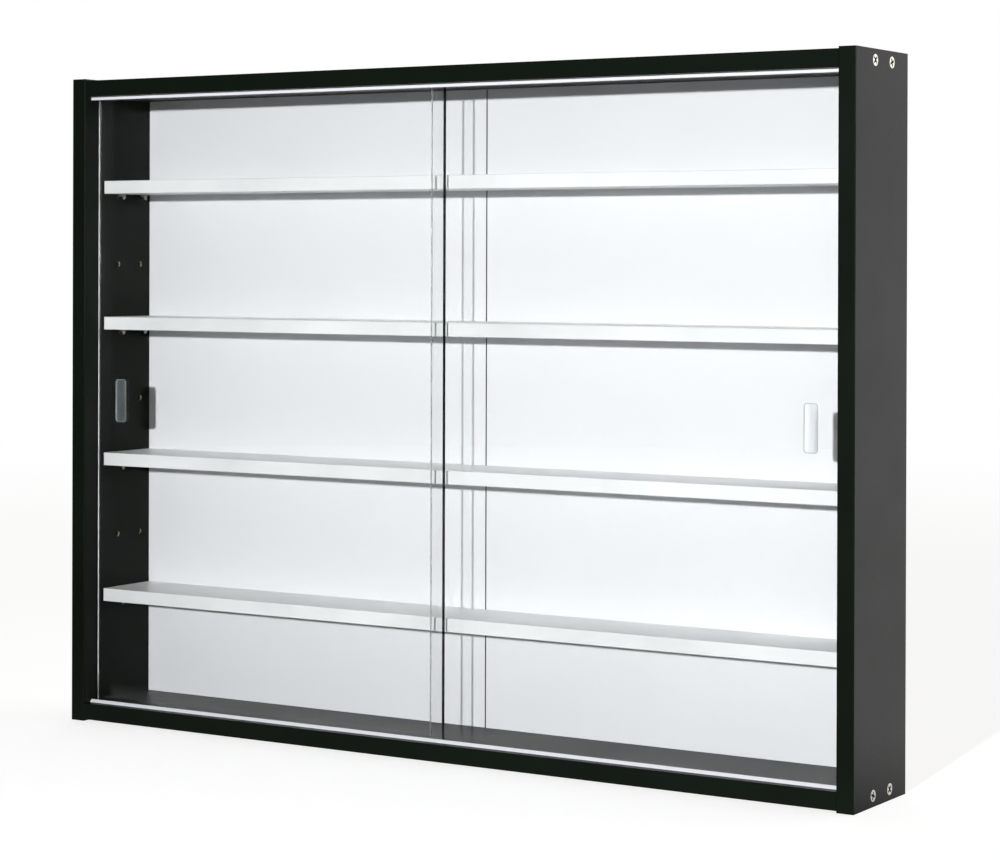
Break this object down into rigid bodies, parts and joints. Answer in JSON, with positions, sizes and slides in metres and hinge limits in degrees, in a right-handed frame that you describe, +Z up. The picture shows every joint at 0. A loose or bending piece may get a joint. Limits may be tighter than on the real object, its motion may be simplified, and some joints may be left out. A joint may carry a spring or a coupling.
{
  "type": "collector display case",
  "caption": "Shallow black display case with loose white shelves on pins, a white back board and sliding glass panes with ground finger pulls in plastic tracks.",
  "frame": {"origin": "on the standing surface, under the middle of the case's width and depth", "axes": "+X to the right seen from the front, +Y to the rear (the glass faces -Y), +Z up"},
  "size_m": [0.8, 0.1, 0.6],
  "materials": {
    "black_board": "satin black melamine on chipboard, black edge band",
    "white_board": "white melamine on chipboard, white edge band",
    "hardboard": "hardboard, white lacquered front, raw brown back",
    "tape": "cloth tape",
    "track_plastic": "extruded pale plastic",
    "glass": "clear float glass, ground edges",
    "nickel": "nickel-plated steel",
    "zinc": "zinc-plated steel",
    "nail_steel": "bright steel"
  },
  "bodies": {
    "carcass": {"left_side_panel": "black_board", "right_side_panel": "black_board", "top_panel": "black_board", "bottom_panel": "black_board", "back_board_left": "hardboard", "back_board_right": "hardboard", "back_board_tape": "tape", "back_board_nails": "nail_steel", "top_track": "track_plastic", "bottom_track": "track_plastic", "left_side_screws": "zinc", "right_side_screws": "zinc", "bottom_shelf_pins": "nickel", "lower_shelf_pins": "nickel", "upper_shelf_pins": "nickel", "top_shelf_pins": "nickel"},
    "left_pane": {"left_glass_pane": "glass"},
    "right_pane": {"right_glass_pane": "glass"},
    "bottom_shelf": {"bottom_shelf": "white_board"},
    "lower_shelf": {"lower_shelf": "white_board"},
    "upper_shelf": {"upper_shelf": "white_board"},
    "top_shelf": {"top_shelf": "white_board"}
  },
  "joints": [
    {"name": "left_pane_slide", "type": "slide", "parent": "carcass", "child": "left_pane", "axis": [1, 0, 0], "range_m": [0, 0.3795]},
    {"name": "right_pane_slide", "type": "slide", "parent": "carcass", "child": "right_pane", "axis": [1, 0, 0], "range_m": [-0.3795, 0]},
    {"name": "bottom_shelf_lift", "type": "slide", "parent": "carcass", "child": "bottom_shelf", "axis": [0, 0, 1], "range_m": [0, 0.11]},
    {"name": "lower_shelf_lift", "type": "slide", "parent": "carcass", "child": "lower_shelf", "axis": [0, 0, 1], "range_m": [0, 0.11]},
    {"name": "upper_shelf_lift", "type": "slide", "parent": "carcass", "child": "upper_shelf", "axis": [0, 0, 1], "range_m": [0, 0.11]},
    {"name": "top_shelf_lift", "type": "slide", "parent": "carcass", "child": "top_shelf", "axis": [0, 0, 1], "range_m": [0, 0.077]}
  ]
}
